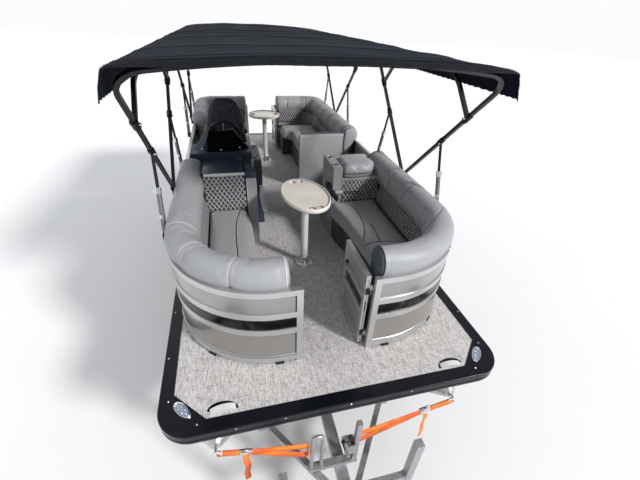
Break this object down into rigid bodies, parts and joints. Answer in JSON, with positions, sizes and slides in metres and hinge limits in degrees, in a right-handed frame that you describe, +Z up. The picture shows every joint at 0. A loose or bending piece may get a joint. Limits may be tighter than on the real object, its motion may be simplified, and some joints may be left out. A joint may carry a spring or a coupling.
{
  "type": "pontoon boat on a tandem trailer",
  "caption": "Two-float leisure boat with fenced deck, lounges, helm, tables and folding tops, standing on its galvanised trailer.",
  "frame": {"origin": "on the ground, in the middle of the overall box in X and Y", "axes": "+X to port, +Y aft along the overall length, +Z up"},
  "size_m": [2.5, 8, 3.4128],
  "materials": {
    "pontoon": "marine aluminium, brushed, weld seams",
    "deck_frame": "extruded, mill finish",
    "engine_bracket": "satin black coat",
    "board": "treated marine plywood",
    "floor_vinyl": "woven vinyl, light grey and beige threads",
    "edge_trim": "satin black extrusion",
    "lamp": "polished bezel with clear lens",
    "cleat": "satin",
    "fence_rail": "anodised satin grey",
    "fence_panel": "metallic grey, semi-gloss",
    "fence_stripe": "gloss black",
    "lounge_base": "moulded, charcoal",
    "cushion": "marine vinyl, grey",
    "arm": "moulded, grey",
    "console": "gel coat, dark grey",
    "screen": "smoked acrylic",
    "steering": "soft grip, black",
    "post": "satin anodised tube",
    "table": "moulded, cream",
    "top_tube": "black coat",
    "canopy": "acrylic canvas, black",
    "galvanised": "hot-dip galvanised, spangled",
    "bunk": "carpeted boards",
    "tyre": "rubber",
    "rim": "silver",
    "webbing": "orange polyester webbing"
  },
  "bodies": {
    "boat_and_trailer": {"pontoon_port": "pontoon", "pontoon_starboard": "pontoon", "deck_frame": "deck_frame", "engine_bracket": "engine_bracket", "deck_board": "board", "deck_floor": "floor_vinyl", "deck_trim": "edge_trim", "deck_lamps": "lamp", "cleats": "cleat", "fence_starboard": "fence_rail", "fence_port": "fence_rail", "fence_panels": "fence_panel", "fence_stripe": "fence_stripe", "arm_columns": "arm", "helm_console": "console", "windscreen": "screen", "pedestals": "post", "table_front": "table", "table_rear": "table", "top_frame_front": "top_tube", "top_frame_rear": "top_tube", "canopy_front": "canopy", "canopy_rear": "canopy", "trailer_frame": "galvanised", "trailer_bunks": "bunk", "trailer_axles": "galvanised", "mudguards": "galvanised", "winch_stand": "galvanised", "coupling": "galvanised", "jack_sleeve": "galvanised", "tie_straps": "webbing", "lounge_base_front_port": "lounge_base", "lounge_seat_front_port": "cushion", "lounge_roll_front_port": "cushion", "lounge_base_aft_port": "lounge_base", "lounge_seat_aft_port": "cushion", "lounge_roll_aft_port": "cushion", "lounge_back_front_port": "cushion", "lounge_base_front_starboard": "lounge_base", "lounge_seat_front_starboard": "cushion", "lounge_roll_front_starboard": "cushion", "lounge_base_aft_starboard": "lounge_base", "lounge_seat_aft_starboard": "cushion", "lounge_roll_aft_starboard": "cushion", "lounge_back_front_starboard": "cushion"},
    "front_gate": {"front_gate": "fence_rail"},
    "stern_gate": {"stern_gate": "fence_rail"},
    "side_gate": {"side_gate": "fence_rail"},
    "steering_wheel": {"steering_wheel": "steering"},
    "helm_chair": {"helm_chair": "cushion"},
    "jack_foot": {"jack_foot": "galvanised"},
    "wheel_front_port": {"rim_front_port": "rim", "tyre_front_port": "tyre"},
    "wheel_rear_port": {"rim_rear_port": "rim", "tyre_rear_port": "tyre"},
    "wheel_front_starboard": {"rim_front_starboard": "rim", "tyre_front_starboard": "tyre"},
    "wheel_rear_starboard": {"rim_rear_starboard": "rim", "tyre_rear_starboard": "tyre"}
  },
  "joints": [
    {"name": "front_gate_hinge", "type": "hinge", "parent": "boat_and_trailer", "child": "front_gate", "pos_m": [0.2435, -2.092, 1.75], "axis": [0, 0, 1], "range_deg": [0, 90]},
    {"name": "stern_gate_hinge", "type": "hinge", "parent": "boat_and_trailer", "child": "stern_gate", "pos_m": [0.2435, 3.183, 1.75], "axis": [0, 0, -1], "range_deg": [0, 90]},
    {"name": "side_gate_hinge", "type": "hinge", "parent": "boat_and_trailer", "child": "side_gate", "pos_m": [1.113, 0.0105, 1.75], "axis": [0, 0, 1], "range_deg": [0, 90]},
    {"name": "chair_swivel", "type": "hinge", "parent": "boat_and_trailer", "child": "helm_chair", "pos_m": [-0.67, 1.17, 1.9], "axis": [0, 0, 1], "continuous": true},
    {"name": "steering", "type": "hinge", "parent": "boat_and_trailer", "child": "steering_wheel", "pos_m": [-0.69, 0.59, 2.32], "axis": [0, 0.9063, 0.4226], "range_deg": [-630, 630]},
    {"name": "jack_slide", "type": "slide", "parent": "boat_and_trailer", "child": "jack_foot", "axis": [0, 0, 1], "range_m": [0, 0.18]},
    {"name": "wheel_front_port_spin", "type": "hinge", "parent": "boat_and_trailer", "child": "wheel_front_port", "pos_m": [1.085, 0.89, 0.263], "axis": [1, 0, 0], "continuous": true},
    {"name": "wheel_rear_port_spin", "type": "hinge", "parent": "boat_and_trailer", "child": "wheel_rear_port", "pos_m": [1.085, 1.51, 0.263], "axis": [1, 0, 0], "continuous": true},
    {"name": "wheel_front_starboard_spin", "type": "hinge", "parent": "boat_and_trailer", "child": "wheel_front_starboard", "pos_m": [-1.085, 0.89, 0.263], "axis": [-1, 0, 0], "continuous": true},
    {"name": "wheel_rear_starboard_spin", "type": "hinge", "parent": "boat_and_trailer", "child": "wheel_rear_starboard", "pos_m": [-1.085, 1.51, 0.263], "axis": [-1, 0, 0], "continuous": true}
  ]
}
